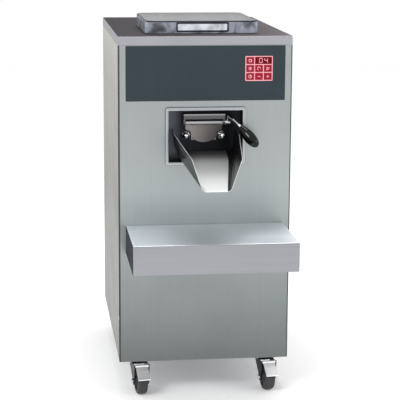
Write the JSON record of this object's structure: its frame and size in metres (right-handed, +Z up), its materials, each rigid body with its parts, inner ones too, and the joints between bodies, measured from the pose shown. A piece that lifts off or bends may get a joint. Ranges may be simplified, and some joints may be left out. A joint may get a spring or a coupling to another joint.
{
  "type": "vertical batch freezer",
  "caption": "Floor-standing vertical batch freezer for gelato: steel cabinet on casters, clear lid, keypad, lever gate, chute and box shelf.",
  "frame": {"origin": "middle of the footprint's box on the floor", "axes": "+Z up, the front with the chute faces -Y, +X to the right of someone facing the front"},
  "size_m": [0.5036, 1.03, 1.097],
  "materials": {
    "brushed_panel": "vertical brushed grain, satin",
    "side_steel": "vertical brushed grain, pale",
    "cover_steel": "brushed grain, darker on top",
    "shelf_steel": "brushed grain along its width",
    "satin_steel": "satin",
    "gate_steel": "satin, warm grey",
    "polished_steel": "mirror polish",
    "frame_steel": "galvanized",
    "zinc": "bright zinc plate",
    "fascia_film": "matt printed film",
    "key_bezel": "satin",
    "key_red": "satin film",
    "display_pane": "gloss",
    "black_rubber": "matt",
    "clear_plastic": "clear, slightly grey",
    "black_grip": "moulded, gloss",
    "copper": "bright copper tube",
    "brass_fitting": "turned",
    "foam": "closed-cell foam",
    "casting": "as cast, painted",
    "motor_paint": "enamel",
    "black_paint": "powder coat",
    "pulley_metal": "turned",
    "white_plastic": "machined",
    "grey_plastic": "moulded",
    "wheel_rubber": "moulded tread on a plastic hub"
  },
  "bodies": {
    "root": {"base_tray": "frame_steel", "inner_frame": "frame_steel", "front_panel": "brushed_panel", "left_side_panel": "side_steel", "right_side_panel": "side_steel", "rear_panel": "side_steel", "top_cover": "cover_steel", "panel_screws": "zinc", "control_fascia": "fascia_film", "keypad_bezel": "key_bezel", "display_window": "display_pane", "electrical_box": "zinc", "freezing_cylinder": "satin_steel", "evaporator_coil": "copper", "cylinder_insulation": "foam", "lid_gasket": "black_rubber", "lid_hinge_brackets": "satin_steel", "shaft_seal": "black_rubber", "bearing_housing": "casting", "shaft_bearings": "zinc", "drive_motor": "motor_paint", "drive_belt": "black_rubber", "compressor": "black_paint", "condenser_coil": "copper", "refrigerant_pipes": "copper", "water_fittings": "brass_fitting", "hatch_surround": "brushed_panel", "gate_housing": "satin_steel", "dome_nuts": "polished_steel", "discharge_chute": "polished_steel", "shelf": "shelf_steel", "caster_plates": "black_paint", "cable_gland": "grey_plastic"},
    "lid": {"clear_lid": "clear_plastic"},
    "gate": {"discharge_gate": "gate_steel", "gate_spindle": "polished_steel", "lever_arm": "polished_steel", "lever_grip": "black_grip"},
    "dasher_assembly": {"dasher": "satin_steel", "scraper_blades": "white_plastic", "drive_shaft": "satin_steel", "driven_pulley": "pulley_metal"},
    "motor_rotor": {"motor_pulley": "pulley_metal"},
    "key_1": {"keypad_key_1": "key_red"},
    "key_2": {"keypad_key_2": "key_red"},
    "key_3": {"keypad_key_3": "key_red"},
    "key_4": {"keypad_key_4": "key_red"},
    "key_5": {"keypad_key_5": "key_red"},
    "key_6": {"keypad_key_6": "key_red"},
    "key_7": {"keypad_key_7": "key_red"},
    "fork_front_left": {"caster_fork_front_left": "black_paint"},
    "wheel_front_left": {"caster_wheel_front_left": "wheel_rubber"},
    "brake_front_left": {"brake_pedal_front_left": "zinc"},
    "fork_front_right": {"caster_fork_front_right": "black_paint"},
    "wheel_front_right": {"caster_wheel_front_right": "wheel_rubber"},
    "brake_front_right": {"brake_pedal_front_right": "zinc"},
    "fork_rear_left": {"caster_fork_rear_left": "black_paint"},
    "wheel_rear_left": {"caster_wheel_rear_left": "wheel_rubber"},
    "fork_rear_right": {"caster_fork_rear_right": "black_paint"},
    "wheel_rear_right": {"caster_wheel_rear_right": "wheel_rubber"}
  },
  "joints": [
    {"name": "lid_hinge", "type": "hinge", "parent": "root", "child": "lid", "pos_m": [0, 0.188, 1.067], "axis": [-1, 0, 0], "range_deg": [0, 100]},
    {"name": "gate_lift", "type": "hinge", "parent": "root", "child": "gate", "pos_m": [0, -0.214, 0.8085], "axis": [-1, 0, 0], "range_deg": [0, 35]},
    {"name": "dasher_spin", "type": "hinge", "parent": "root", "child": "dasher_assembly", "pos_m": [0, 0.0065, 0.742], "axis": [0, 0, 1], "continuous": true},
    {"name": "motor_spin", "type": "hinge", "parent": "root", "child": "motor_rotor", "pos_m": [0, 0.33, 0.66], "axis": [0, 0, 1], "continuous": true},
    {"name": "key_1_press", "type": "slide", "parent": "root", "child": "key_1", "axis": [0, 1, 0], "range_m": [0, 0.0008], "stiffness_N_per_m": 2500},
    {"name": "key_2_press", "type": "slide", "parent": "root", "child": "key_2", "axis": [0, 1, 0], "range_m": [0, 0.0008], "stiffness_N_per_m": 2500},
    {"name": "key_3_press", "type": "slide", "parent": "root", "child": "key_3", "axis": [0, 1, 0], "range_m": [0, 0.0008], "stiffness_N_per_m": 2500},
    {"name": "key_4_press", "type": "slide", "parent": "root", "child": "key_4", "axis": [0, 1, 0], "range_m": [0, 0.0008], "stiffness_N_per_m": 2500},
    {"name": "key_5_press", "type": "slide", "parent": "root", "child": "key_5", "axis": [0, 1, 0], "range_m": [0, 0.0008], "stiffness_N_per_m": 2500},
    {"name": "key_6_press", "type": "slide", "parent": "root", "child": "key_6", "axis": [0, 1, 0], "range_m": [0, 0.0008], "stiffness_N_per_m": 2500},
    {"name": "key_7_press", "type": "slide", "parent": "root", "child": "key_7", "axis": [0, 1, 0], "range_m": [0, 0.0008], "stiffness_N_per_m": 2500},
    {"name": "swivel_front_left", "type": "hinge", "parent": "root", "child": "fork_front_left", "pos_m": [-0.19, -0.194, 0.09], "axis": [0, 0, 1], "continuous": true},
    {"name": "roll_front_left", "type": "hinge", "parent": "fork_front_left", "child": "wheel_front_left", "pos_m": [-0.18586, -0.22775, 0.04], "axis": [0.9925, 0.1219, 0], "continuous": true},
    {"name": "brake_front_left", "type": "hinge", "parent": "fork_front_left", "child": "brake_front_left", "pos_m": [-0.18409, -0.24214, 0.088], "axis": [0.9925, 0.1219, 0], "range_deg": [0, 14]},
    {"name": "swivel_front_right", "type": "hinge", "parent": "root", "child": "fork_front_right", "pos_m": [0.19, -0.194, 0.09], "axis": [0, 0, 1], "continuous": true},
    {"name": "roll_front_right", "type": "hinge", "parent": "fork_front_right", "child": "wheel_front_right", "pos_m": [0.19414, -0.22775, 0.04], "axis": [0.9925, 0.1219, 0], "continuous": true},
    {"name": "brake_front_right", "type": "hinge", "parent": "fork_front_right", "child": "brake_front_right", "pos_m": [0.19591, -0.24214, 0.088], "axis": [0.9925, 0.1219, 0], "range_deg": [0, 14]},
    {"name": "swivel_rear_left", "type": "hinge", "parent": "root", "child": "fork_rear_left", "pos_m": [-0.19, 0.43, 0.09], "axis": [0, 0, 1], "continuous": true},
    {"name": "roll_rear_left", "type": "hinge", "parent": "fork_rear_left", "child": "wheel_rear_left", "pos_m": [-0.18586, 0.39625, 0.04], "axis": [0.9925, 0.1219, 0], "continuous": true},
    {"name": "swivel_rear_right", "type": "hinge", "parent": "root", "child": "fork_rear_right", "pos_m": [0.19, 0.43, 0.09], "axis": [0, 0, 1], "continuous": true},
    {"name": "roll_rear_right", "type": "hinge", "parent": "fork_rear_right", "child": "wheel_rear_right", "pos_m": [0.19414, 0.39625, 0.04], "axis": [0.9925, 0.1219, 0], "continuous": true}
  ],
  "couplings": [
    {"joint": "motor_spin", "follows": "dasher_spin", "ratio": 2.5}
  ]
}
